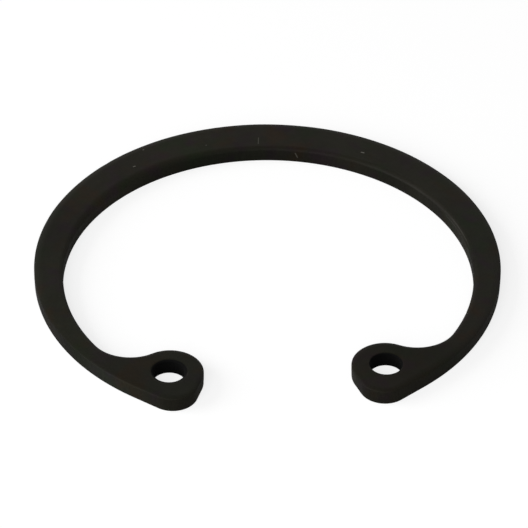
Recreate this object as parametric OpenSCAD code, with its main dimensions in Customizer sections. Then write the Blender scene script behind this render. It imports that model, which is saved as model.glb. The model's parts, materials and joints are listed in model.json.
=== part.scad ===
// Internal circlip: a spring steel retaining ring for a groove inside a round housing.
// One punched piece. The ring lies flat, the centre of its round rim is at the origin,
// the underside is at z = 0 and the gap faces -Y.

/* [Ring] */
// Outer diameter of the free ring
ring_d = 34.4; // [28:0.1:42]
// Thickness of the steel
thick = 1.2; // [0.8:0.05:2]
// Width of the band at the back, opposite the gap, where it is widest
back_w = 3.25; // [2.6:0.05:4.2]
// Width that the band narrows to, as its two edges would meet the middle of the gap
front_w = 1; // [0.7:0.05:1.4]

/* [Lugs] */
// Diameter of the plier holes
hole_d = 2.3; // [1.8:0.1:3]
// Steel between a plier hole and the nose of its lug
lug_wall = 1.35; // [0.9:0.05:1.6]
// Distance of the hole centres in from the rim
hole_inset = 2.7; // [2:0.1:3.2]
// Angle between a hole and the middle of the gap
hole_angle = 32.5; // [24:0.5:40]
// Slant of a lug's end face against the line through its hole and the ring's centre
face_slant = 12; // [4:0.5:16]
// Angle past the hole at which the outer edge leaves the round rim and runs straight
straight_lead = 5; // [2:0.5:10]
// Radius of the outer corner of a lug
corner_r = 1.85; // [0.8:0.05:2.1]
// Radius of the throat between the band and a lug
throat_r = 3; // [1.8:0.1:4.5]

/* [Edges] */
// Rounding of the upper edges, where the punch drew the steel down
edge_top = 0.2; // [0.05:0.05:0.3]
// Rounding of the lower edges
edge_bottom = 0.1; // [0.05:0.05:0.3]
// Rounding of the upper rims of the plier holes
rim_top = 0.25; // [0.05:0.05:0.4]

/* [Hidden] */

// Flats that stand for a quarter round along an edge
edge_steps = 4;
// Flat kept beside the roundings on the strips that carry them
strip_flat = 0.1;
// Depth of those strips, and how far the core reaches under them
strip_w = 2 * max(edge_top, edge_bottom) + strip_flat;
core_inset = strip_w / 2;
// Steps along an arc of the core, which stays hidden under the strips
core_steps = 12;
band_steps = 60;
// Overshoot of the cutting tools past the faces that they cut
cut = 1;
// Facets of a full circle: the large arcs, and the plier holes
$fn = 96;
hole_facets = 48;

// Circles of the band: the inner edge is moved towards the gap
rim_r = ring_d / 2;
inner_r = (ring_d - back_w - front_w) / 2;
inner_c = [0, -(back_w - front_w) / 2];

// Circles and directions of the right-hand lug, angles counted from +X
lug_r = hole_d / 2 + lug_wall;
hole_c = (rim_r - hole_inset) * polar(hole_angle - 90);
face_a = 180 + hole_angle - face_slant;
straight_a = hole_angle + straight_lead - 90;
corner_c = inside_corner(face_a, -hole_c * polar(face_a + 180) + lug_r, straight_a, rim_r, corner_r);
throat_c = touching_centre(hole_c, lug_r + throat_r, inner_c, inner_r - throat_r);
inner_a = bearing(throat_c - inner_c);
throat_a = bearing(hole_c - throat_c);
nose_a = bearing(throat_c - hole_c);

// Unit vector at angle a
function polar(a) = [cos(a), sin(a)];

// Angle of vector v
function bearing(v) = atan2(v[1], v[0]);

// Centre of a circle of radius r that touches two lines from within. Each line is given by the
// angle of its outward normal and its distance from the origin along that normal.
function inside_corner(a1, d1, a2, d2, r) =
    let (n1 = polar(a1), n2 = polar(a2), det = n1[0] * n2[1] - n1[1] * n2[0])
    [((d1 - r) * n2[1] - (d2 - r) * n1[1]) / det, ((d2 - r) * n1[0] - (d1 - r) * n2[0]) / det];

// Point at distance r1 from p1 and r2 from p2, on the side away from the middle of the gap
function touching_centre(p1, r1, p2, r2) =
    let (v = p2 - p1, d = norm(v), along = (r1 * r1 - r2 * r2 + d * d) / (2 * d),
         off = sqrt(r1 * r1 - along * along))
    p1 + along * v / d + off * [v[1], -v[0]] / d;

// Points along an arc
function arc(c, r, a0, a1, steps) = [for (i = [0:steps]) c + r * polar(a0 + (a1 - a0) * i / steps)];

// Core of one lug, from the inner edge of the band round to its outer edge
function lug_core() = concat(
    arc(throat_c, throat_r + core_inset, inner_a, throat_a, core_steps),
    arc(hole_c, lug_r - core_inset, nose_a, face_a, core_steps),
    arc(corner_c, corner_r - core_inset, face_a, straight_a + 360, core_steps)
);

// The same points on the other side of the gap, in the opposite order
function mirrored(points) = [for (i = [len(points) - 1:-1:0]) [-points[i][0], points[i][1]]];

// Core of the ring, a little inside its edges
function core() = concat(
    arc([0, 0], rim_r - core_inset, straight_a, 180 - straight_a, band_steps),
    mirrored(lug_core()),
    arc(inner_c, inner_r + core_inset, 180 - inner_a, inner_a, band_steps),
    lug_core()
);

// Section across an edge: the outside is at x = 0 and the steel lies towards -x
module edge_section() {
    polygon(concat(
        [[-strip_w, 0]],
        arc([-edge_bottom, edge_bottom], edge_bottom, -90, 0, edge_steps),
        arc([-edge_top, thick - edge_top], edge_top, 0, 90, edge_steps),
        [[-strip_w, thick]]
    ));
}

// Strip along an arc with the steel inside it
module outer_arc(c, r, a0, a1) {
    translate(c) rotate(a0) rotate_extrude(angle = a1 - a0) translate([r, 0]) edge_section();
}

// Strip along an arc with the steel outside it
module inner_arc(c, r, a0, a1) {
    translate(c) rotate(a0) rotate_extrude(angle = a1 - a0) translate([r, 0]) mirror([1, 0]) edge_section();
}

// Strip along a straight edge that starts at p, faces angle a and runs clockwise
module straight_edge(p, a, length) {
    translate(p) rotate([90, 0, a]) linear_extrude(length) edge_section();
}

// Rounded edges of the right-hand lug: throat, nose, end face, outer corner and straight edge
module lug_edges() {
    face_start = corner_c + corner_r * polar(face_a);
    face_end = hole_c + lug_r * polar(face_a);
    straight_start = rim_r * polar(straight_a);
    straight_end = corner_c + corner_r * polar(straight_a);
    inner_arc(throat_c, throat_r, throat_a, inner_a);
    outer_arc(hole_c, lug_r, nose_a, face_a);
    straight_edge(face_start, face_a, norm(face_end - face_start));
    outer_arc(corner_c, corner_r, face_a, straight_a + 360);
    straight_edge(straight_start, straight_a, norm(straight_end - straight_start));
}

// Tool that cuts a plier hole and rounds its two rims
module plier_hole() {
    hole_r = hole_d / 2;
    translate(hole_c) rotate_extrude($fn = hole_facets) polygon(concat(
        [[0, -cut], [hole_r + edge_bottom, -cut]],
        arc([hole_r + edge_bottom, edge_bottom], edge_bottom, 270, 180, edge_steps),
        arc([hole_r + rim_top, thick - rim_top], rim_top, 180, 90, edge_steps),
        [[hole_r + rim_top, thick + cut], [0, thick + cut]]
    ));
}

module circlip() {
    color([0.14, 0.135, 0.12]) difference() {
        union() {
            linear_extrude(thick) polygon(core());
            outer_arc([0, 0], rim_r, straight_a, 180 - straight_a);
            inner_arc(inner_c, inner_r, inner_a, 180 - inner_a);
            lug_edges();
            mirror([1, 0, 0]) lug_edges();
        }
        plier_hole();
        mirror([1, 0, 0]) plier_hole();
    }
}

circlip();
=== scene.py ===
"""An internal circlip in black spring steel, lying on a white table.

The ring is one punched piece. Its visible surface is modelled here as one closed mesh round the
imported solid: the rim, the narrowing band, the lugs and the plier holes keep the solid's sizes, and
the edges get what punching and tumbling leave on them. All lengths are in metres.
"""

import json
import logging
import math
from dataclasses import dataclass, field
from enum import Enum

import bpy
import numpy as np
from mathutils import Matrix, Vector, geometry, noise


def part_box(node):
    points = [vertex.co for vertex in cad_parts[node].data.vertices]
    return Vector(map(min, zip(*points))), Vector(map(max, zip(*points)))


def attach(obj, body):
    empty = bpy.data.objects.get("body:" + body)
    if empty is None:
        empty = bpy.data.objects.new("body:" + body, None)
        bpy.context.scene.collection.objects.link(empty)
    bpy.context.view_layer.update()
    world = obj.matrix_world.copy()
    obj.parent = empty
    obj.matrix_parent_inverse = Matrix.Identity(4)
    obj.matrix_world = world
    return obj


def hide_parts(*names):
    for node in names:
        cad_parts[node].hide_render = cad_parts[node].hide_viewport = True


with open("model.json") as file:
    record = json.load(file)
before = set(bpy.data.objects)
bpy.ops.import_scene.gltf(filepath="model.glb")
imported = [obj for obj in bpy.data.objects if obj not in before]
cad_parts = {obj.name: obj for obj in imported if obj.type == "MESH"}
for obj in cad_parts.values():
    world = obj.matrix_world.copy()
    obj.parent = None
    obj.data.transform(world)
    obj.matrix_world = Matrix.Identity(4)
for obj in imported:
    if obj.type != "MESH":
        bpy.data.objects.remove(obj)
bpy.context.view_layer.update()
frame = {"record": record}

LOG = logging.getLogger("circlip")
MM = 0.001
MICRON = 1e-6

Colour = tuple[float, float, float]
Socket = bpy.types.NodeSocket


def polar(angle: float) -> Vector:
    """Returns the unit vector at an angle, in radians from +X."""
    return Vector((math.cos(angle), math.sin(angle)))


def bearing(direction: Vector) -> float:
    """Returns the angle of a plane vector, in radians from +X."""
    return math.atan2(direction.y, direction.x)


def smooth_step(value: float) -> float:
    """Returns value eased from 0 to 1, and held there beyond."""
    held = min(max(value, 0.0), 1.0)
    return held * held * (3.0 - 2.0 * held)


def unevenness(place: Vector, length: float, height: float = 0.0) -> float:
    """Returns smooth noise from -1 to 1 at a place, with waves of a length."""
    return noise.noise(Vector((place.x, place.y, height)) / length)


def sight_line(azimuth: float, elevation: float) -> Vector:
    """Finds the direction from the ring to a lamp or the camera.

    Args:
        azimuth: Its angle round the ring in degrees, 0 in front and positive to the right.
        elevation: Its angle above the table in degrees.

    Returns:
        The unit vector that points to it.
    """
    turn, lift = math.radians(azimuth), math.radians(elevation)
    across = math.cos(lift)
    return Vector((math.sin(turn) * across, -math.cos(turn) * across, math.sin(lift)))


class SteelSide(Enum):
    """Which side of an arc the steel lies on."""

    WITHIN = 1.0
    AROUND = -1.0


class Zone(Enum):
    """The stretches of the ring's edge that the punch and the tumbling leave differently."""

    RIM = "rim"
    LUG = "lug"
    INNER = "inner"


@dataclass(frozen=True)
class EdgePoint:
    """One point on the ring's edge seen from above, and the direction that the edge faces."""

    place: Vector
    facing: Vector
    zone: Zone

    def mirrored(self) -> "EdgePoint":
        """Returns the same point on the other half of the ring."""
        flip = Vector((-1.0, 1.0))
        return EdgePoint(self.place * flip, self.facing * flip, self.zone)


@dataclass(frozen=True)
class ArcRun:
    """A round stretch of the ring's edge, followed from one angle to another."""

    centre: Vector
    radius: float
    start: float
    end: float
    steel: SteelSide
    zone: Zone

    def points(self, step: float) -> list[EdgePoint]:
        """Samples the stretch evenly.

        Args:
            step: The longest distance between two samples.

        Returns:
            The samples from its start to just before its end.
        """
        count = max(2, math.ceil(abs(self.end - self.start) * self.radius / step))
        angles = [self.start + (self.end - self.start) * i / count for i in range(count)]
        return [
            EdgePoint(self.centre + self.radius * polar(a), self.steel.value * polar(a), self.zone)
            for a in angles
        ]


@dataclass(frozen=True)
class StraightRun:
    """A straight stretch of the ring's edge."""

    start: Vector
    end: Vector
    facing: Vector
    zone: Zone

    def points(self, step: float) -> list[EdgePoint]:
        """Samples the stretch evenly.

        Args:
            step: The longest distance between two samples.

        Returns:
            The samples from its start to just before its end.
        """
        count = max(1, math.ceil((self.end - self.start).length / step))
        return [
            EdgePoint(self.start.lerp(self.end, i / count), self.facing, self.zone)
            for i in range(count)
        ]


@dataclass
class RingOutline:
    """The ring's outline seen from above, symmetric about the YZ plane, with its gap at -Y."""

    rim_radius: float
    hole: Vector
    hole_radius: float
    back_width: float = 3.25 * MM
    front_width: float = 1.0 * MM
    lug_wall: float = 1.35 * MM
    face_slant: float = math.radians(12.0)
    straight_lead: float = math.radians(5.0)
    corner_radius: float = 1.85 * MM
    throat_radius: float = 3.0 * MM
    inner_radius: float = field(init=False)
    inner_centre: Vector = field(init=False)

    def __post_init__(self) -> None:
        """Places the circle of the inner edge, which is moved towards the gap."""
        self.inner_radius = self.rim_radius - (self.back_width + self.front_width) / 2
        self.inner_centre = Vector((0.0, -(self.back_width - self.front_width) / 2))

    def corner_centre(self, face: float, straight: float) -> Vector:
        """Finds the centre of a lug's outer corner, which touches its two straight edges.

        Args:
            face: The angle that the lug's end face looks along.
            straight: The angle that its straight outer edge looks along.

        Returns:
            The centre of the corner's arc.
        """
        face_out, straight_out = polar(face), polar(straight)
        face_reach = (
            self.hole.dot(face_out) + self.hole_radius + self.lug_wall - self.corner_radius
        )
        straight_reach = self.rim_radius - self.corner_radius
        det = face_out.x * straight_out.y - face_out.y * straight_out.x
        return Vector(
            (
                (face_reach * straight_out.y - straight_reach * face_out.y) / det,
                (straight_reach * face_out.x - face_reach * straight_out.x) / det,
            )
        )

    def throat_centre(self, lug_radius: float) -> Vector:
        """Finds the centre of the hollow between a lug and the inner edge of the band.

        Args:
            lug_radius: The radius of the lug round its hole.

        Returns:
            The centre of the arc that touches the lug from outside and the band from within.
        """
        across = self.inner_centre - self.hole
        to_lug = lug_radius + self.throat_radius
        to_band = self.inner_radius - self.throat_radius
        gap = across.length
        along = (to_lug**2 - to_band**2 + gap**2) / (2 * gap)
        off = math.sqrt(to_lug**2 - along**2)
        side = Vector((across.y, -across.x))
        return self.hole + (along * across + off * side) / gap

    def right_half(self) -> list[ArcRun | StraightRun]:
        """Lays out the right half of the outline.

        Returns:
            Its stretches, from the back of the rim round the lug to the back of the inner edge.
        """
        slope = math.atan2(self.hole.x, -self.hole.y)
        face = math.pi + slope - self.face_slant
        straight = slope + self.straight_lead - math.pi / 2
        lug_radius = self.hole_radius + self.lug_wall
        corner = self.corner_centre(face, straight)
        throat = self.throat_centre(lug_radius)
        nose = bearing(throat - self.hole)
        hollow = bearing(self.hole - throat)
        inner = bearing(throat - self.inner_centre)
        face_out, straight_out = polar(face), polar(straight)
        middle = Vector((0.0, 0.0))
        within, around = SteelSide.WITHIN, SteelSide.AROUND
        return [
            ArcRun(middle, self.rim_radius, math.pi / 2, straight, within, Zone.RIM),
            StraightRun(
                self.rim_radius * straight_out,
                corner + self.corner_radius * straight_out,
                straight_out,
                Zone.RIM,
            ),
            ArcRun(corner, self.corner_radius, straight, face - 2 * math.pi, within, Zone.LUG),
            StraightRun(
                corner + self.corner_radius * face_out,
                self.hole + lug_radius * face_out,
                face_out,
                Zone.LUG,
            ),
            ArcRun(self.hole, lug_radius, face, nose, within, Zone.LUG),
            ArcRun(throat, self.throat_radius, hollow, inner, around, Zone.INNER),
            ArcRun(self.inner_centre, self.inner_radius, inner, math.pi / 2, around, Zone.INNER),
        ]

    def loop(self, step: float) -> list[EdgePoint]:
        """Samples the whole outline.

        Args:
            step: The longest distance between two samples.

        Returns:
            The samples in order round the outline, each place once.
        """
        half = [point for run in self.right_half() for point in run.points(step)]
        inner_back = EdgePoint(
            self.inner_centre + Vector((0.0, self.inner_radius)), Vector((0.0, -1.0)), Zone.INNER
        )
        return half + [inner_back] + [point.mirrored() for point in reversed(half[1:])]


class Skin:
    """The vertices and faces of one closed surface, gathered before the mesh is made."""

    def __init__(self) -> None:
        """Starts with nothing."""
        self.places: list[Vector] = []
        self.faces: list[tuple[int, ...]] = []
        self.worn_and_lit: list[float] = []
        self.punched: list[float] = []
        self.bored: list[float] = []

    def add(
        self, place: Vector, worn_and_lit: float = 0.0, punched: float = 0.0, bored: float = 0.0
    ) -> int:
        """Adds a vertex.

        Args:
            place: Where it is.
            worn_and_lit: Thinned coat and painted highlight, from 0 on a face to 1 on an edge's
                crest.
            punched: 1 where the steel was sheared by the punch and 0 on the rolled faces.
            bored: 1 down a plier hole, which is painted in shade there, and 0 elsewhere.

        Returns:
            Its index.
        """
        self.places.append(place)
        self.worn_and_lit.append(worn_and_lit)
        self.punched.append(punched)
        self.bored.append(bored)
        return len(self.places) - 1

    def bridge(self, first: list[int], second: list[int]) -> None:
        """Joins two closed rows of the same length with a band of four-sided faces."""
        self.faces += zip(first, first[1:] + first[:1], second[1:] + second[:1], second)

    def mesh(self, name: str) -> bpy.types.Mesh:
        """Makes the mesh, with its surface marked for the finish.

        Args:
            name: The mesh's name.

        Returns:
            The mesh, shaded smooth.
        """
        made = bpy.data.meshes.new(name)
        made.from_pydata([tuple(p) for p in self.places], [], self.faces)
        # Edge mask: thinned coat and painted highlight; hole mask: painted shade
        marks = {"worn_and_lit_edge": self.worn_and_lit, "punched_wall": self.punched, "plier_hole": self.bored}
        for label, values in marks.items():
            layer = made.attributes.new(label, "FLOAT", "POINT")
            layer.data.foreach_set("value", values)
        made.shade_smooth()
        made.update()
        return made


@dataclass(frozen=True)
class Roll:
    """How far punching and tumbling draw an edge down, across the face and down the wall."""

    width: float
    depth: float


@dataclass
class EdgeProfile:
    """The section that punching gives the steel at an edge, from the upper face to the lower.

    The punch draws the upper edge down, shears a smooth land, and tears the rest, which leans in a
    little and is rough. The last four values are angles in radians. As the surface leans from the
    upper face, 0, to the wall, pi / 2, the lighter edge colour of thinned coat and painted
    highlight ends and the sheared wall starts, both over lean_fade. From the wall round the lower
    edge, lower_lean is where the sheared wall ends.
    """

    thickness: float
    land_share: float = 0.45
    tear_lean: float = 18 * MICRON
    tear_rough: float = 5 * MICRON
    tear_grain: float = 0.25 * MM
    tear_onset: float = 0.3
    tear_foot: float = 0.1
    upper_steps: int = 10
    wall_steps: int = 7
    lower_steps: int = 4
    worn_and_lit_until: float = 0.6
    sheared_from: float = 0.1
    lean_fade: float = 0.9
    lower_lean: float = 1.2

    def rows(self, upper: Roll, lower: float) -> list[tuple[float, float, float, float]]:
        """Works out the section.

        Args:
            upper: How the upper edge is drawn down.
            lower: The rounding of the lower edge.

        Returns:
            One row per step: its inset from the outline, its height, how much of an edge it is and
            how much of the sheared wall it is.
        """
        made = []
        for i in range(self.upper_steps + 1):
            turn = math.pi / 2 * i / self.upper_steps
            lean = math.atan2(upper.depth * math.sin(turn), upper.width * math.cos(turn))
            inset = upper.width * (1 - math.sin(turn))
            height = self.thickness - upper.depth * (1 - math.cos(turn))
            worn_and_lit = math.sin(turn) * (1 - smooth_step((lean - self.worn_and_lit_until) / self.lean_fade))
            sheared = smooth_step((lean - self.sheared_from) / self.lean_fade)
            made.append((inset, height, worn_and_lit, sheared))
        top, bottom = self.thickness - upper.depth, lower
        for i in range(1, self.wall_steps):
            height = top + (bottom - top) * i / self.wall_steps
            made.append((self.tear_inset(height), height, 0.0, 1.0))
        for i in range(self.lower_steps + 1):
            turn = math.pi / 2 * i / self.lower_steps
            crest = math.sin(2 * turn)
            inset = self.tear_inset(bottom) + lower * (1 - math.cos(turn))
            sheared = smooth_step(self.lower_lean - turn)
            made.append((inset, lower * (1 - math.sin(turn)), crest, sheared))
        return made

    def tear_inset(self, height: float) -> float:
        """Returns how far the torn part of the wall leans in at a height."""
        start = self.thickness * (1 - self.land_share)
        return self.tear_lean * smooth_step((start - height) / start)

    def roughness(self, place: Vector, height: float) -> float:
        """Works out how rough the torn part of the wall is.

        Args:
            place: A place on the outline.
            height: The height there.

        Returns:
            The uneven inset of the wall at that point.
        """
        start = self.thickness * (1 - self.land_share)
        depth = smooth_step((start - height) / (self.tear_onset * start))
        depth *= smooth_step(height / (self.tear_foot * start))
        return self.tear_rough * depth * (0.5 + 0.5 * unevenness(place, self.tear_grain, height))


@dataclass(frozen=True)
class Nick:
    """A small knock in the ring's upper edge, where the edge is pressed in."""

    place: Vector
    reach: float
    depth: float

    def inset(self, place: Vector, height: float, thickness: float) -> float:
        """Works out how far the edge is pressed in.

        Args:
            place: A place on the outline.
            height: The height of the row there.
            thickness: The thickness of the steel.

        Returns:
            The inset of that point of the edge.
        """
        away = (place - self.place).length / self.reach
        return self.depth * smooth_step(1 - away) * smooth_step(2 * height / thickness - 1)


@dataclass(frozen=True)
class WornAndLitStretch:
    """A stretch of the upper edge painted lighter: coat thinned by handling, and painted highlight.
    """

    place: Vector
    reach: float
    share: float
    steepness: float = 1.6

    def at(self, place: Vector) -> float:
        """Returns how much lighter the edge is painted at a place on the outline, from 0 to 1."""
        nearness = 1 - (place - self.place).length / self.reach
        return self.share * smooth_step(self.steepness * nearness)


@dataclass(frozen=True)
class BrightLine:
    """A short bright line where something has scratched the coat, or a fleck where it is short.

    It also draws the painted highlight lines along the inner edge.
    """

    start: Vector
    end: Vector
    width: float
    strength: float


@dataclass(frozen=True)
class LightShadePatch:
    """A soft patch of painted light and shade on the faces or on the sheared walls."""

    place: tuple[float, float]
    reach: float
    tint: Colour
    on_walls: bool


@dataclass
class Circlip:
    """The ring: one punched piece of spring steel with two lugs and their plier holes.

    The soft roll is what the inner edge has round soft_place. The painted shade in a plier hole
    starts where its rim has rolled down by hole_shade_start of the roll's depth.
    """

    outline: RingOutline
    thickness: float
    rim_roll: Roll = Roll(0.60 * MM, 0.15 * MM)
    lug_roll: Roll = Roll(0.42 * MM, 0.15 * MM)
    inner_roll: Roll = Roll(0.38 * MM, 0.26 * MM)
    soft_roll: Roll = Roll(0.62 * MM, 0.45 * MM)
    soft_place: tuple[float, float] = (-9.5 * MM, 10.5 * MM)
    soft_reach: float = 10.0 * MM
    lower_rounding: float = 0.10 * MM
    right_hole_roll: Roll = Roll(0.14 * MM, 0.14 * MM)
    left_hole_roll: Roll = Roll(0.34 * MM, 0.14 * MM)
    blend_samples: int = 25
    roll_variation: float = 0.15
    roll_length: float = 4 * MM
    least_wear: float = 0.05
    # Where the edges are painted lighter: coat thinned by handling, and painted highlight
    inner_wear_and_highlight: tuple[WornAndLitStretch, ...] = (
        WornAndLitStretch(Vector((11.8 * MM, 7.2 * MM)), 8.5 * MM, 1.0),
    )
    rim_wear_and_highlight: tuple[WornAndLitStretch, ...] = (
        WornAndLitStretch(Vector((-14.6 * MM, 9.1 * MM)), 15.0 * MM, 0.75),
        WornAndLitStretch(Vector((14.9 * MM, -8.6 * MM)), 6.0 * MM, 0.35),
    )
    edge_step: float = 0.20 * MM
    face_step: float = 0.42 * MM
    face_margin: float = 0.05 * MM
    hole_segments: int = 96
    wave_depth: float = 9 * MICRON
    wave_length: float = 2.6 * MM
    hole_wave: float = 0.4
    hole_shade_start: float = 0.5
    nicks: tuple[Nick, ...] = (
        Nick(Vector((15.05 * MM, -1.95 * MM)), 0.30 * MM, 0.035 * MM),
        Nick(Vector((15.03 * MM, -2.45 * MM)), 0.22 * MM, 0.030 * MM),
        Nick(Vector((14.10 * MM, -6.60 * MM)), 0.25 * MM, 0.025 * MM),
        Nick(Vector((-11.50 * MM, 12.79 * MM)), 0.40 * MM, 0.020 * MM),
    )

    def build(self) -> bpy.types.Object:
        """Builds the ring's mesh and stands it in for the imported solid.

        Returns:
            The dressed piece's object, without its finish.
        """
        skin = Skin()
        profile = EdgeProfile(self.thickness)
        upper_rings, lower_rings = [], []
        for rows in [self.edge_rows(skin, profile), *self.hole_rows(skin, profile)]:
            for first, second in zip(rows, rows[1:]):
                skin.bridge(first, second)
            upper_rings.append(rows[0])
            lower_rings.append(rows[-1])
        self.close_face(skin, upper_rings, self.thickness, upward=True)
        self.close_face(skin, lower_rings, 0.0, upward=False)
        piece = bpy.data.objects.new("punched_ring", skin.mesh("punched_ring"))
        bpy.context.scene.collection.objects.link(piece)
        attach(piece, "root")
        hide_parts("circlip")
        LOG.info("punched_ring: %d vertices, %d faces", len(skin.places), len(skin.faces))
        return piece

    def upper_rolls(self, loop: list[EdgePoint]) -> list[Roll]:
        """Works out how the upper edge is drawn down at each sample of the outline.

        Args:
            loop: The samples of the outline.

        Returns:
            The rolls, which pass smoothly from one zone of the edge to the next.
        """
        by_zone = {Zone.RIM: self.rim_roll, Zone.LUG: self.lug_roll, Zone.INNER: self.inner_roll}
        blend = np.hanning(self.blend_samples)
        blend /= blend.sum()
        pad = self.blend_samples // 2
        smooth = []
        for size in ("width", "depth"):
            plain = np.array([getattr(by_zone[point.zone], size) for point in loop])
            padded = np.concatenate([plain[-pad:], plain, plain[:pad]])
            smooth.append(np.convolve(padded, blend, mode="valid"))
        rolls = []
        for point, width, depth in zip(loop, *smooth):
            if point.zone is Zone.INNER:
                away = (point.place - Vector(self.soft_place)).length
                near = smooth_step(1 - away / self.soft_reach)
                width += near * (self.soft_roll.width - width)
                depth += near * (self.soft_roll.depth - depth)
            varied = 1 + self.roll_variation * unevenness(point.place, self.roll_length)
            rolls.append(Roll(float(width) * varied, float(depth) * varied))
        return rolls

    def wear_and_highlight(self, point: EdgePoint) -> float:
        """Works out the edge's thinned coat and painted highlight at a sample of the outline.

        Args:
            point: The sample.

        Returns:
            0 where the edge keeps the coat's colour and 1 where it is painted lightest.
        """
        stretches = {Zone.INNER: self.inner_wear_and_highlight, Zone.RIM: self.rim_wear_and_highlight}.get(point.zone, ())
        return max([self.least_wear] + [stretch.at(point.place) for stretch in stretches])

    def wave(self, place: Vector) -> float:
        """Returns the slight unevenness of the outline at a place, always into the steel."""
        return self.wave_depth * (0.5 + 0.5 * unevenness(place, self.wave_length))

    def edge_rows(self, skin: Skin, profile: EdgeProfile) -> list[list[int]]:
        """Adds the rows of the ring's edge, from just inside the upper face to the lower one.

        Args:
            skin: The surface that takes the vertices.
            profile: The section of the edge.

        Returns:
            The vertices of each row, in order round the outline.
        """
        loop = self.outline.loop(self.edge_step)
        sections = [profile.rows(roll, self.lower_rounding) for roll in self.upper_rolls(loop)]
        # Lighter edge colour at each sample: thinned coat and painted highlight
        wear_and_highlight = [self.wear_and_highlight(point) for point in loop]
        rows = []
        last = len(sections[0]) - 1
        for level in range(-1, last + 2):
            row = []
            for point, section, rubbed_and_lit in zip(loop, sections, wear_and_highlight):
                inset, height, worn_and_lit, punched = section[min(max(level, 0), last)]
                worn_and_lit *= rubbed_and_lit
                if level in (-1, last + 1):
                    inset, worn_and_lit, punched = inset + self.face_margin, 0.0, 0.0
                inset += self.wave(point.place) + profile.roughness(point.place, height)
                inset += sum(n.inset(point.place, height, self.thickness) for n in self.nicks)
                spot = point.place - inset * point.facing
                row.append(skin.add(Vector((spot.x, spot.y, height)), worn_and_lit, punched))
            rows.append(row)
        return rows

    def hole_rows(self, skin: Skin, profile: EdgeProfile) -> list[list[list[int]]]:
        """Adds the rows of the two plier holes, from the upper face to the lower one.

        Args:
            skin: The surface that takes the vertices.
            profile: The section of the edge.

        Returns:
            For each hole, the vertices of each row in order round it.
        """
        holes = []
        for side, roll in ((1, self.right_hole_roll), (-1, self.left_hole_roll)):
            centre = Vector((side * self.outline.hole.x, self.outline.hole.y))
            section = profile.rows(roll, self.lower_rounding)
            section = [
                (section[0][0] + self.face_margin, self.thickness, 0.0, 0.0),
                *section,
                (section[-1][0] + self.face_margin, 0.0, 0.0, 0.0),
            ]
            rows = []
            for inset, height, _, punched in section:
                row = []
                # Painted shade in the hole, from just below its rim down the bore
                drop = (self.thickness - height) / roll.depth
                hole_shade = smooth_step(drop / self.hole_shade_start)
                for i in range(self.hole_segments):
                    out = polar(2 * math.pi * i / self.hole_segments)
                    edge = centre + self.outline.hole_radius * out
                    wave = self.hole_wave * self.wave(edge)
                    spot = edge + (inset + wave + profile.roughness(edge, height)) * out
                    row.append(skin.add(Vector((spot.x, spot.y, height)), 0.0, punched, hole_shade))
                rows.append(row)
            holes.append(rows)
        return holes

    def close_face(self, skin: Skin, rings: list[list[int]], height: float, upward: bool) -> None:
        """Fills a flat face between the outline and the holes with triangles.

        Args:
            skin: The surface that takes the faces.
            rings: The closed rows round the face: the outline first, then the holes.
            height: The height of the face.
            upward: True where the face looks up.
        """
        known = [index for ring in rings for index in ring]
        border = np.array([(skin.places[i].x, skin.places[i].y) for i in known])
        loops, start = [], 0
        for ring in rings:
            loops.append(list(range(start, start + len(ring))))
            start += len(ring)
        edges = [(a, b) for loop in loops for a, b in zip(loop, loop[1:] + loop[:1])]
        inner = self.face_points(border, edges)
        known += [skin.add(Vector((x, y, height))) for x, y in inner]
        flat = np.vstack([border, inner])
        tolerance = 1e-6
        _, _, faces, origins, _, _ = geometry.delaunay_2d_cdt(
            [Vector(point) / MM for point in flat], edges, [], 0, tolerance
        )
        faces = np.array([[origins[i][0] for i in face] for face in faces])
        steel = self.within(flat[faces].mean(axis=1), border, edges)
        for corners in faces[steel]:
            (ax, ay), (bx, by), (cx, cy) = flat[corners]
            turns_left = (bx - ax) * (cy - ay) > (by - ay) * (cx - ax)
            order = corners if turns_left == upward else corners[::-1]
            skin.faces.append(tuple(known[i] for i in order))

    def face_points(self, border: np.ndarray, edges: list[tuple[int, int]]) -> np.ndarray:
        """Spreads points evenly over a flat face, clear of its borders.

        Args:
            border: The points of the face's borders.
            edges: The pairs of those points that are joined.

        Returns:
            The points, one row each.
        """
        step = self.face_step
        rise = step * math.sqrt(3) / 2
        low, high = border.min(axis=0), border.max(axis=0)
        columns, rows = ((high - low) / (step, rise)).astype(int) + 1
        grid = np.array(
            [
                (low[0] + (i + (j % 2) / 2) * step, low[1] + j * rise)
                for j in range(rows)
                for i in range(columns)
            ]
        )
        grid = grid[self.within(grid, border, edges)]
        clear = [np.hypot(*(border - point).T).min() > step / 2 for point in grid]
        return grid[clear]

    @staticmethod
    def within(points: np.ndarray, border: np.ndarray, edges: list[tuple[int, int]]) -> np.ndarray:
        """Tells which points lie on the steel of a flat face.

        Args:
            points: The points to test, one row each.
            border: The points of the face's borders.
            edges: The pairs of those points that are joined.

        Returns:
            True for each point that an odd number of borders lies to the right of.
        """
        crossings = np.zeros(len(points), dtype=int)
        for start, end in edges:
            (ax, ay), (bx, by) = border[start], border[end]
            if ay == by:
                continue
            spans = (ay > points[:, 1]) != (by > points[:, 1])
            cut = ax + (points[:, 1] - ay) * (bx - ax) / (by - ay)
            crossings += spans & (points[:, 0] < cut)
        return crossings % 2 == 1


@dataclass(frozen=True)
class Pattern:
    """A cloudy pattern: the width of its clouds in mm, its finer layers and their strength."""

    size: float
    detail: float
    rough: float


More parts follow.
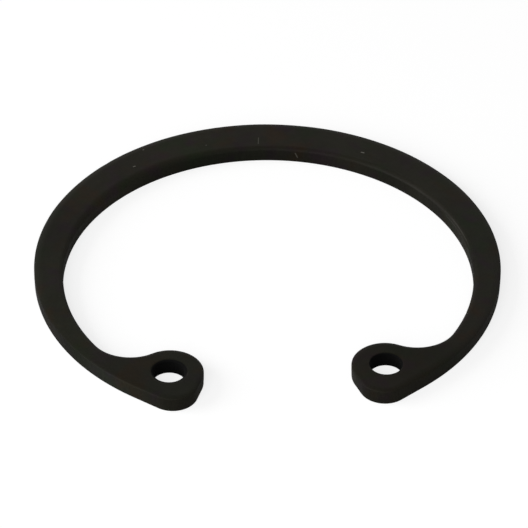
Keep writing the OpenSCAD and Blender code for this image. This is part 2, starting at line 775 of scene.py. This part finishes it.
class NodeSheet:
    """The nodes of one material, or of the world, made and joined by short calls."""

    def __init__(self, owner: bpy.types.Material | bpy.types.World) -> None:
        """Starts with an empty sheet of nodes.

        Args:
            owner: The material or the world that the nodes are for.
        """
        self.owner = owner
        self.owner.use_nodes = True
        self.tree = self.owner.node_tree
        self.tree.nodes.clear()

    def node(self, kind: str, *fed: object, **settings: object) -> bpy.types.Node:
        """Adds a node.

        Args:
            kind: The node's type, without the words ShaderNode.
            fed: The values, sockets or nodes that feed its first inputs, in order.
            settings: The node's own settings.

        Returns:
            The node.
        """
        made = self.tree.nodes.new("ShaderNode" + kind)
        for key, value in settings.items():
            setattr(made, key, value)
        for socket, value in zip(made.inputs, fed):
            self.feed(socket, value)
        return made

    def feed(self, socket: Socket, value: object) -> None:
        """Links a socket or sets its value.

        Args:
            socket: The input.
            value: The socket to link it to, a node whose first output it takes, or the value.
        """
        if isinstance(value, bpy.types.Node):
            value = value.outputs[0]
        if isinstance(value, Socket):
            self.tree.links.new(value, socket)
        else:
            socket.default_value = value

    def math(self, what: str, a: object, b: object = 0.0, held: bool = False) -> Socket:
        """Adds a sum.

        Args:
            what: The operation.
            a: The first value or socket.
            b: The second value or socket.
            held: True where the result stays between 0 and 1.

        Returns:
            The result.
        """
        return self.node("Math", a, b, operation=what, use_clamp=held).outputs[0]

    def vector(self, what: str, a: object, b: object) -> bpy.types.Node:
        """Adds a sum of vectors.

        Args:
            what: The operation.
            a: The first vector or socket.
            b: The second vector or socket.

        Returns:
            The node, whose outputs are the vector and the value.
        """
        return self.node("VectorMath", a, b, operation=what)

    def noise(self, where: Socket, pattern: Pattern) -> Socket:
        """Adds a cloudy pattern.

        Args:
            where: The coordinates, in millimetres.
            pattern: The pattern.

        Returns:
            Its value, about 0.5 on average.
        """
        made = self.node("TexNoise", where, noise_dimensions="3D")
        made.inputs["Scale"].default_value = 1.0 / pattern.size
        made.inputs["Detail"].default_value = pattern.detail
        made.inputs["Roughness"].default_value = pattern.rough
        return made.outputs["Fac"]

    def span(
        self, value: object, low: float, high: float, to_low: float = 0.0, to_high: float = 1.0
    ) -> Socket:
        """Maps a range smoothly to another one.

        Args:
            value: The socket to map.
            low: Where the change starts.
            high: Where it ends.
            to_low: The result at low and before it.
            to_high: The result at high and beyond it.

        Returns:
            The result.
        """
        made = self.node("MapRange", value, low, high, to_low, to_high)
        made.interpolation_type = "SMOOTHSTEP"
        return made.outputs["Result"]

    def mix(self, share: object, a: object, b: object, how: str = "MIX") -> Socket:
        """Mixes two colours.

        Args:
            share: How much of the second colour there is.
            a: The first colour or socket.
            b: The second colour or socket.
            how: The way they mix.

        Returns:
            The mixed colour.
        """
        made = self.node("Mix", data_type="RGBA", blend_type=how, clamp_result=False)
        self.feed(made.inputs["Factor"], share)
        colours = [socket for socket in made.inputs if socket.type == "RGBA"]
        for socket, value in zip(colours, (a, b)):
            self.feed(socket, (*value, 1.0) if isinstance(value, tuple) else value)
        return next(socket for socket in made.outputs if socket.type == "RGBA")

    def grey(self, value: object) -> Socket:
        """Makes a grey of a value, which may be over 1."""
        return self.node("CombineColor", value, value, value).outputs[0]

    def bump(
        self, height: object, distance: float, strength: float, under: object = None
    ) -> Socket:
        """Adds relief to the surface.

        Args:
            height: The relief, from 0 to 1.
            distance: Its depth.
            strength: How much of it shows.
            under: The relief below it, if there is any.

        Returns:
            The normal.
        """
        made = self.node("Bump")
        made.inputs["Distance"].default_value = distance
        made.inputs["Strength"].default_value = strength
        self.feed(made.inputs["Height"], height)
        if under is not None:
            self.feed(made.inputs["Normal"], under)
        return made.outputs["Normal"]


@dataclass(frozen=True)
class BlackSpringSteel:
    """Spring steel with a matt black phosphate coat, oiled, and thin along its edges.

    The lighter edge colour stands for the thinned coat and is also a painted highlight on the
    rounded edges. The steel colour marks scratch lines and flecks, and also the painted highlight
    lines. The plier holes are painted dark as shade, and soft patches of painted light and shade
    lighten or darken the coat by place. The swings are how far a pattern lightens or darkens the
    coat, and the streaks' scale is how many there are to the millimetre. Values in pairs are the
    ends of a range. A bright line or a patch has its full strength out to middle_share of its width
    or reach.
    """

    coat: Colour = (0.0095, 0.0090, 0.0061)
    brown: Colour = (0.0136, 0.0080, 0.0040)
    green: Colour = (0.0064, 0.0098, 0.0042)
    violet: Colour = (0.0106, 0.0066, 0.0088)
    # Lighter edge colour: thinned coat, and painted highlight on the rounded edges
    worn_and_lit: Colour = (0.0240, 0.0222, 0.0195)
    # Steel colour of scratch lines and flecks, and of the painted highlight lines
    bare_and_highlight: Colour = (0.1500, 0.1450, 0.1250)
    # Painted shade down the plier holes
    hole_shade: Colour = (0.0048, 0.0048, 0.0047)
    gloss_tint: Colour = (1.0, 0.96, 0.86)
    # Darker reflections down the plier holes, as painted shade
    hole_shade_gloss: Colour = (0.2, 0.2, 0.2)
    specular: float = 0.07
    grain: Pattern = Pattern(0.16, 4.0, 0.6)
    patches: Pattern = Pattern(0.9, 3.0, 0.55)
    streaks: Pattern = Pattern(1.0, 3.0, 0.6)
    clouds: Pattern = Pattern(5.5, 2.0, 0.5)
    ripples: Pattern = Pattern(1.4, 2.0, 0.5)
    streak_scale: tuple[float, float, float] = (9.0, 9.0, 0.9)
    cloud_swing: float = 0.10
    grain_swing: float = 0.16
    streak_swing: tuple[float, float] = (-0.14, 0.10)
    tint_share: float = 0.75
    # Share of the lighter edge colour, thinned coat and painted highlight, that shows
    rubbed_and_lit_share: tuple[float, float] = (0.40, 0.75)
    roughness: tuple[float, float] = (0.46, 0.55)
    grain_roughness: float = 0.02
    wall_roughness: float = 0.08
    hole_roughness: float = 0.30
    worn_gloss: float = 0.12
    ripple_depth: float = 10 * MICRON
    grain_depth: float = 4 * MICRON
    torn_depth: float = 8 * MICRON
    relief: float = 0.4
    fleck_density: float = 1.1
    fleck_radii: tuple[float, float] = (0.020, 0.055)
    fleck_rarity: tuple[float, float] = (0.80, 0.86)
    fleck_strength: float = 0.22
    middle_share: float = 0.15
    bright_marks: tuple[BrightLine, ...] = ()
    # Patches of painted light and shade
    light_shade_patches: tuple[LightShadePatch, ...] = ()

    def bright_lines(self, sheet: NodeSheet, where: Socket) -> Socket:
        """Marks the scratch lines and specks, and the painted highlight lines.

        Args:
            sheet: The material's nodes.
            where: The place on the ring, in millimetres.

        Returns:
            1 on a mark's middle line and 0 away from the marks.
        """
        total: object = 0.0
        for mark in self.bright_marks:
            start, end = mark.start / MM, mark.end / MM
            run = end - start
            offset = sheet.vector("SUBTRACT", where, tuple(start)).outputs[0]
            along = sheet.vector("DOT_PRODUCT", offset, tuple(run / run.length_squared)).outputs[1]
            held = sheet.math("ADD", along, 0.0, held=True)
            foot = sheet.node("VectorMath", tuple(run), operation="SCALE")
            sheet.feed(foot.inputs["Scale"], held)
            away = sheet.vector("DISTANCE", offset, foot).outputs[1]
            width = mark.width / MM
            core = sheet.span(away, self.middle_share * width, width / 2, mark.strength, 0.0)
            total = sheet.math("MAXIMUM", total, core)
        return total

    def flecked(self, sheet: NodeSheet, where: Socket) -> Socket:
        """Scatters rare fine flecks where the coat is thin.

        Args:
            sheet: The material's nodes.
            where: The place on the ring, in millimetres.

        Returns:
            How much of the steel shows.
        """
        cells = sheet.node("TexVoronoi", where, feature="F1")
        cells.inputs["Scale"].default_value = self.fleck_density
        dot = sheet.span(cells.outputs["Distance"], *self.fleck_radii, 1.0, 0.0)
        chance = sheet.node("SeparateColor", cells.outputs["Color"]).outputs[0]
        rare = sheet.span(chance, *self.fleck_rarity, 0.0, self.fleck_strength)
        return sheet.math("MULTIPLY", dot, rare)

    def clouded(self, sheet: NodeSheet, where: Socket) -> Socket:
        """Colours the coat with cloudy tints.

        Args:
            sheet: The material's nodes.
            where: The place on the ring, in millimetres.

        Returns:
            The coat's colour.
        """
        colour: object = self.coat
        # Each tint, the width of its clouds, and a shift that sets them apart from the others
        tints = ((self.brown, 2.1, 11.0), (self.green, 2.7, 23.0), (self.violet, 1.7, 37.0))
        for tint, size, shift in tints:
            moved = sheet.vector("ADD", where, (shift, shift / 2, 0.0)).outputs[0]
            cloud = sheet.noise(moved, Pattern(size, 2.0, 0.45))
            share = sheet.span(cloud, 0.50, 0.72, 0.0, self.tint_share)
            colour = sheet.mix(share, colour, tint)
        return colour

    def painted_light_and_shade(
        self, sheet: NodeSheet, colour: Socket, where: Socket, punched: Socket
    ) -> Socket:
        """Lays the blots over the coat.

        Args:
            sheet: The material's nodes.
            colour: The coat's colour.
            where: The place on the ring, in millimetres.
            punched: 1 on the sheared walls and 0 on the faces.

        Returns:
            The colour with the painted light and shade.
        """
        flat = sheet.vector("MULTIPLY", where, (1.0, 1.0, 0.0)).outputs[0]
        rolled = sheet.math("SUBTRACT", 1.0, punched)
        for light_shade_patch in self.light_shade_patches:
            away = sheet.vector("DISTANCE", flat, (*light_shade_patch.place, 0.0)).outputs[1]
            share = sheet.span(away, self.middle_share * light_shade_patch.reach, light_shade_patch.reach, 1.0, 0.0)
            share = sheet.math("MULTIPLY", share, punched if light_shade_patch.on_walls else rolled)
            colour = sheet.mix(share, colour, light_shade_patch.tint, "MULTIPLY")
        return colour

    def material(self) -> bpy.types.Material:
        """Makes the material.

        Returns:
            The material.
        """
        sheet = NodeSheet(bpy.data.materials.new("black_spring_steel_finish"))
        shader = sheet.node("BsdfPrincipled")
        sheet.node("OutputMaterial", shader)
        place = sheet.node("TexCoord").outputs["Object"]
        where = sheet.vector("MULTIPLY", place, (1 / MM,) * 3).outputs[0]
        worn_and_lit_edge, punched, bored = (
            sheet.node("Attribute", attribute_name=name).outputs["Fac"]
            for name in ("worn_and_lit_edge", "punched_wall", "plier_hole")
        )
        grain, patch = sheet.noise(where, self.grain), sheet.noise(where, self.patches)
        upright = sheet.vector("MULTIPLY", where, self.streak_scale).outputs[0]
        streaks = sheet.noise(upright, self.streaks)

        cloud, swing = sheet.noise(where, self.clouds), self.cloud_swing
        broad = sheet.span(cloud, 0.3, 0.7, 1 - swing, 1 + swing)
        fine = sheet.span(grain, 0.25, 0.75, 1 - self.grain_swing, 1 + self.grain_swing)
        shade = sheet.math("MULTIPLY", broad, fine)
        dimmed = sheet.math("MULTIPLY", sheet.span(streaks, 0.3, 0.7, *self.streak_swing), punched)
        shade = sheet.math("MULTIPLY", shade, sheet.math("ADD", dimmed, 1.0))
        colour = sheet.mix(1.0, self.clouded(sheet, where), sheet.grey(shade), "MULTIPLY")
        # Lighter edge colour along the crests: thinned coat and painted highlight
        patchy = sheet.span(patch, 0.35, 0.70, *self.rubbed_and_lit_share)
        rubbed_and_lit = sheet.math("MULTIPLY", worn_and_lit_edge, patchy)
        colour = sheet.mix(rubbed_and_lit, colour, self.worn_and_lit)
        # Patches of painted light and shade over the coat
        colour = self.painted_light_and_shade(sheet, colour, where, punched)
        # Steel colour on scratch lines, flecks and painted highlight lines
        marks = sheet.math("MAXIMUM", self.bright_lines(sheet, where), self.flecked(sheet, where))
        colour = sheet.mix(marks, colour, self.bare_and_highlight)
        # Plier holes painted dark as shade: darker colour and darker reflections
        hole_shaded = sheet.span(bored, 0.0, 0.5, 0.0, 1.0)
        sheet.feed(shader.inputs["Base Color"], sheet.mix(hole_shaded, colour, self.hole_shade))
        gloss = sheet.mix(hole_shaded, self.gloss_tint, self.hole_shade_gloss)
        sheet.feed(shader.inputs["Specular Tint"], gloss)

        rough = sheet.span(patch, 0.3, 0.7, *self.roughness)
        swing = self.grain_roughness
        for added in (
            sheet.span(grain, 0.3, 0.7, -swing, swing),
            sheet.math("MULTIPLY", punched, self.wall_roughness),
            sheet.math("MULTIPLY", hole_shaded, self.hole_roughness),
        ):
            rough = sheet.math("ADD", rough, added)
        worn_away = sheet.math("MULTIPLY", sheet.math("ADD", rubbed_and_lit, marks), self.worn_gloss)
        sheet.feed(shader.inputs["Roughness"], sheet.math("SUBTRACT", rough, worn_away, held=True))
        shader.inputs["Specular IOR Level"].default_value = self.specular

        torn = sheet.math("MULTIPLY", streaks, punched)
        normal = sheet.bump(sheet.noise(where, self.ripples), self.ripple_depth, self.relief)
        normal = sheet.bump(grain, self.grain_depth, self.relief, normal)
        normal = sheet.bump(torn, self.torn_depth, self.relief, normal)
        sheet.feed(shader.inputs["Normal"], normal)
        return sheet.owner


@dataclass(frozen=True)
class WhiteTable:
    """The plain white surface that the ring lies on, which keeps a faint shadow."""

    width: float = 1.6
    colour: float = 0.80
    own_light: float = 0.77
    lit_share: float = 0.45

    def build(self) -> None:
        """Lays the table under the ring and gives it its finish."""
        half = self.width / 2
        corners = [(-half, -half, 0.0), (half, -half, 0.0), (half, half, 0.0), (-half, half, 0.0)]
        mesh = bpy.data.meshes.new("table")
        mesh.from_pydata(corners, [], [(0, 1, 2, 3)])
        table = bpy.data.objects.new("table", mesh)
        bpy.context.scene.collection.objects.link(table)
        mesh.materials.append(self.material())
        LOG.info("table: %.2f m wide", self.width)

    def material(self) -> bpy.types.Material:
        """Makes the table's finish.

        Seen by the camera, most of the white is the table's own, so that it is white without more
        light on the ring and still takes the ring's shadow. From below nothing of it shows.

        Returns:
            The material.
        """
        sheet = NodeSheet(bpy.data.materials.new("white_table"))
        seen = sheet.node("LightPath").outputs["Is Camera Ray"]
        plain = sheet.node("BsdfDiffuse", (self.colour,) * 3 + (1.0,))
        shown = sheet.node("BsdfDiffuse", (self.colour * self.lit_share,) * 3 + (1.0,))
        glow = sheet.node("Emission")
        glow.inputs["Strength"].default_value = self.own_light
        above = sheet.node("MixShader", seen, plain, sheet.node("AddShader", shown, glow))
        below = sheet.node("NewGeometry").outputs["Backfacing"]
        both = sheet.node("MixShader", below, above, sheet.node("BsdfTransparent"))
        sheet.node("OutputMaterial", both)
        return sheet.owner


@dataclass(frozen=True)
class SoftLamp:
    """A square soft lamp that looks at the ring."""

    name: str
    azimuth: float
    elevation: float
    distance: float
    width: float
    level: float

    def build(self) -> None:
        """Hangs the lamp. Its level is what it adds to a white surface that faces it."""
        back = sight_line(self.azimuth, self.elevation)
        data = bpy.data.lights.new(self.name, "AREA")
        data.shape = "SQUARE"
        data.size = self.width
        data.energy = self.level * (math.pi * self.distance) ** 2
        lamp = bpy.data.objects.new(self.name, data)
        lamp.location = self.distance * back
        lamp.rotation_mode = "QUATERNION"
        lamp.rotation_quaternion = back.to_track_quat("Z", "Y")
        bpy.context.scene.collection.objects.link(lamp)


@dataclass(frozen=True)
class Studio:
    """Plain soft light: a low wide lamp on the left, a weaker one in front, and a dim room."""

    room_level: float = 0.15
    lamps: tuple[SoftLamp, ...] = (
        SoftLamp("left_lamp", -90.0, 20.0, 0.55, 0.45, 0.95),
        SoftLamp("front_lamp", -20.0, 35.0, 0.55, 0.45, 0.60),
    )

    def build(self) -> None:
        """Hangs the lamps and lights the room."""
        for lamp in self.lamps:
            lamp.build()
        sheet = NodeSheet(bpy.data.worlds.new("pale_room"))
        path = sheet.node("LightPath").outputs
        seen = sheet.math("MAXIMUM", path["Is Camera Ray"], path["Is Glossy Ray"])
        seen = sheet.math("MAXIMUM", seen, path["Is Transmission Ray"])
        sky = sheet.node("Background")
        level = sheet.node("MapRange", seen, 0.0, 1.0, self.room_level, 1.0)
        sheet.feed(sky.inputs["Strength"], level)
        sheet.node("OutputWorld", sky)
        bpy.context.scene.world = sheet.owner
        LOG.info("studio: %d lamps", len(self.lamps))


@dataclass(frozen=True)
class PhotoCamera:
    """The camera, at the photograph's viewing angle."""

    aim: tuple[float, float, float] = (-0.175 * MM, 1.262 * MM, 0.0)
    distance: float = 339.84 * MM
    azimuth: float = -3.632
    elevation: float = 38.198
    roll: float = 0.349
    focal_pixels: float = 4587.7
    image_pixels: int = 528
    sensor: float = 36.0
    near: float = 0.01
    far: float = 10.0

    def build(self) -> None:
        """Makes the camera and gives it to the scene."""
        back = sight_line(self.azimuth, self.elevation)
        right = Vector((0.0, 0.0, 1.0)).cross(back).normalized()
        up = back.cross(right)
        lean = Matrix.Rotation(math.radians(self.roll), 3, back)
        right, up = lean @ right, lean @ up
        data = bpy.data.cameras.new("photo_camera")
        data.sensor_width = self.sensor
        data.lens = self.focal_pixels * self.sensor / self.image_pixels
        data.clip_start, data.clip_end = self.near, self.far
        camera = bpy.data.objects.new("photo_camera", data)
        stand = Matrix.Translation(Vector(self.aim) + self.distance * back)
        camera.matrix_world = stand @ Matrix((right, up, back)).transposed().to_4x4()
        bpy.context.scene.collection.objects.link(camera)
        bpy.context.scene.camera = camera
        LOG.info("photo_camera: %.0f mm away", self.distance / MM)


def painted_highlight_lines(outline: RingOutline, thickness: float) -> tuple[BrightLine, ...]:
    """Lays two fine painted highlights along the right of the inner edge, in short straight pieces.

    Args:
        outline: The ring's outline.
        thickness: The thickness of the steel.

    Returns:
        The pieces.
    """
    # Start and end in degrees round the inner circle, inset and depth in mm, and brightness
    lines = ((7.5, 26.0, 0.11, 0.06, 0.22), (12.0, 28.0, 0.01, 0.26, 0.16))
    pieces, width = 5, 0.09 * MM
    made = []
    for start, end, inset, depth, strength in lines:
        turns = [math.radians(start + (end - start) * i / pieces) for i in range(pieces + 1)]
        radius = outline.inner_radius + inset * MM
        spots = [outline.inner_centre + radius * polar(turn) for turn in turns]
        ends = [Vector((spot.x, spot.y, thickness - depth * MM)) for spot in spots]
        for i, (first, second) in enumerate(zip(ends, ends[1:])):
            fade = math.sin(math.pi * (i + 0.5) / pieces)
            made.append(BrightLine(first, second, width, strength * fade))
    return tuple(made)


def bright_marks(thickness: float) -> tuple[BrightLine, ...]:
    """Lists the bright marks on the upper face and the inner wall.

    Args:
        thickness: The thickness of the steel.

    Returns:
        The marks, in the ring's frame.
    """
    # Both ends in mm, their third numbers down from the upper face, then the width and strength
    lines = (
        ((-9.42, 12.16, 0.0), (-9.30, 12.22, 0.0), 0.14, 0.8),
        ((-8.63, 14.24, 0.0), (-8.57, 14.28, 0.0), 0.13, 0.6),
        ((-3.82, 14.56, 0.0), (-3.77, 14.60, 0.0), 0.13, 0.35),
        ((0.24, 15.32, 0.0), (0.17, 14.56, 0.0), 0.09, 0.40),
        ((2.95, 13.68, 0.35), (3.12, 13.65, 0.75), 0.13, 0.35),
        ((7.94, 13.06, 0.0), (8.12, 12.98, 0.0), 0.15, 0.9),
        ((15.00, -2.00, 0.0), (15.04, -2.20, 0.0), 0.12, 0.30),
        ((15.12, -2.40, 0.0), (15.15, -2.55, 0.0), 0.12, 0.30),
    )
    top, down = Vector((0.0, 0.0, thickness)), Vector((MM, MM, -MM))
    return tuple(
        BrightLine(top + down * Vector(start), top + down * Vector(end), width * MM, strength)
        for start, end, width, strength in lines
    )


def light_shade_patches() -> tuple[LightShadePatch, ...]:
    """Lists the soft patches of painted light and shade on the coat.

    Returns:
        The patches, with their places and reaches in millimetres.
    """
    # Sheared walls made lighter or darker as painted light and shade
    on_walls = (
        ((-11.8, -12.5), 4.2, (1.22, 1.48, 1.55)),
        ((-16.0, -6.5), 6.5, (0.52, 0.58, 0.56)),
        ((15.0, -1.8), 4.5, (0.58, 0.58, 0.58)),
        ((5.6, -14.2), 2.4, (0.64, 0.63, 0.61)),
        ((13.0, 6.5), 3.0, (0.75, 0.75, 0.78)),
        ((-3.0, 14.0), 9.0, (0.72, 0.82, 0.78)),
        ((-12.0, 8.2), 8.0, (1.55, 1.58, 1.55)),
        ((10.1, 10.1), 3.0, (0.70, 0.72, 0.72)),
    )
    # Faces made lighter or darker as painted light and shade
    on_faces = (
        ((9.0, -12.0), 7.5, (0.72, 0.64, 0.58)),
        ((-7.0, 14.0), 13.0, (1.24, 1.19, 1.17)),
        ((9.0, 13.0), 11.0, (1.20, 1.19, 1.16)),
        ((14.8, 5.5), 6.5, (1.14, 1.14, 1.11)),
        ((-13.3, -7.6), 5.5, (1.18, 1.22, 1.18)),
        ((-15.0, -3.5), 9.0, (1.12, 1.22, 1.12)),
        ((-8.5, -12.5), 6.5, (0.88, 0.99, 0.94)),
    )
    walls = [LightShadePatch(*row, on_walls=True) for row in on_walls]
    return (*walls, *(LightShadePatch(*row, on_walls=False) for row in on_faces))


def mount(name: str) -> dict:
    """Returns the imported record's mount of a name."""
    return next(entry for entry in frame["record"]["mounts"] if entry["name"] == name)


def main() -> None:
    """Builds the ring, its table, its light and its camera in order."""
    logging.basicConfig(level=logging.INFO, format="%(name)s: %(message)s")
    low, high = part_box("circlip")
    thickness = high.z - low.z
    hole = mount("right_plier_hole")
    outline = RingOutline(
        rim_radius=mount("rim")["dims"]["r_mm"] * MM,
        hole=Vector(hole["pos_m"][:2]),
        hole_radius=hole["dims"]["r_mm"] * MM,
    )
    ring = Circlip(outline, thickness).build()
    # Scratch lines and specks, with the painted highlight lines along the inner edge
    marks = bright_marks(thickness) + painted_highlight_lines(outline, thickness)
    finish = BlackSpringSteel(bright_marks=marks, light_shade_patches=light_shade_patches())
    ring.data.materials.append(finish.material())
    WhiteTable().build()
    Studio().build()
    PhotoCamera().build()
    bpy.context.scene.view_settings.view_transform = "Standard"


if __name__ == "__main__":
    main()
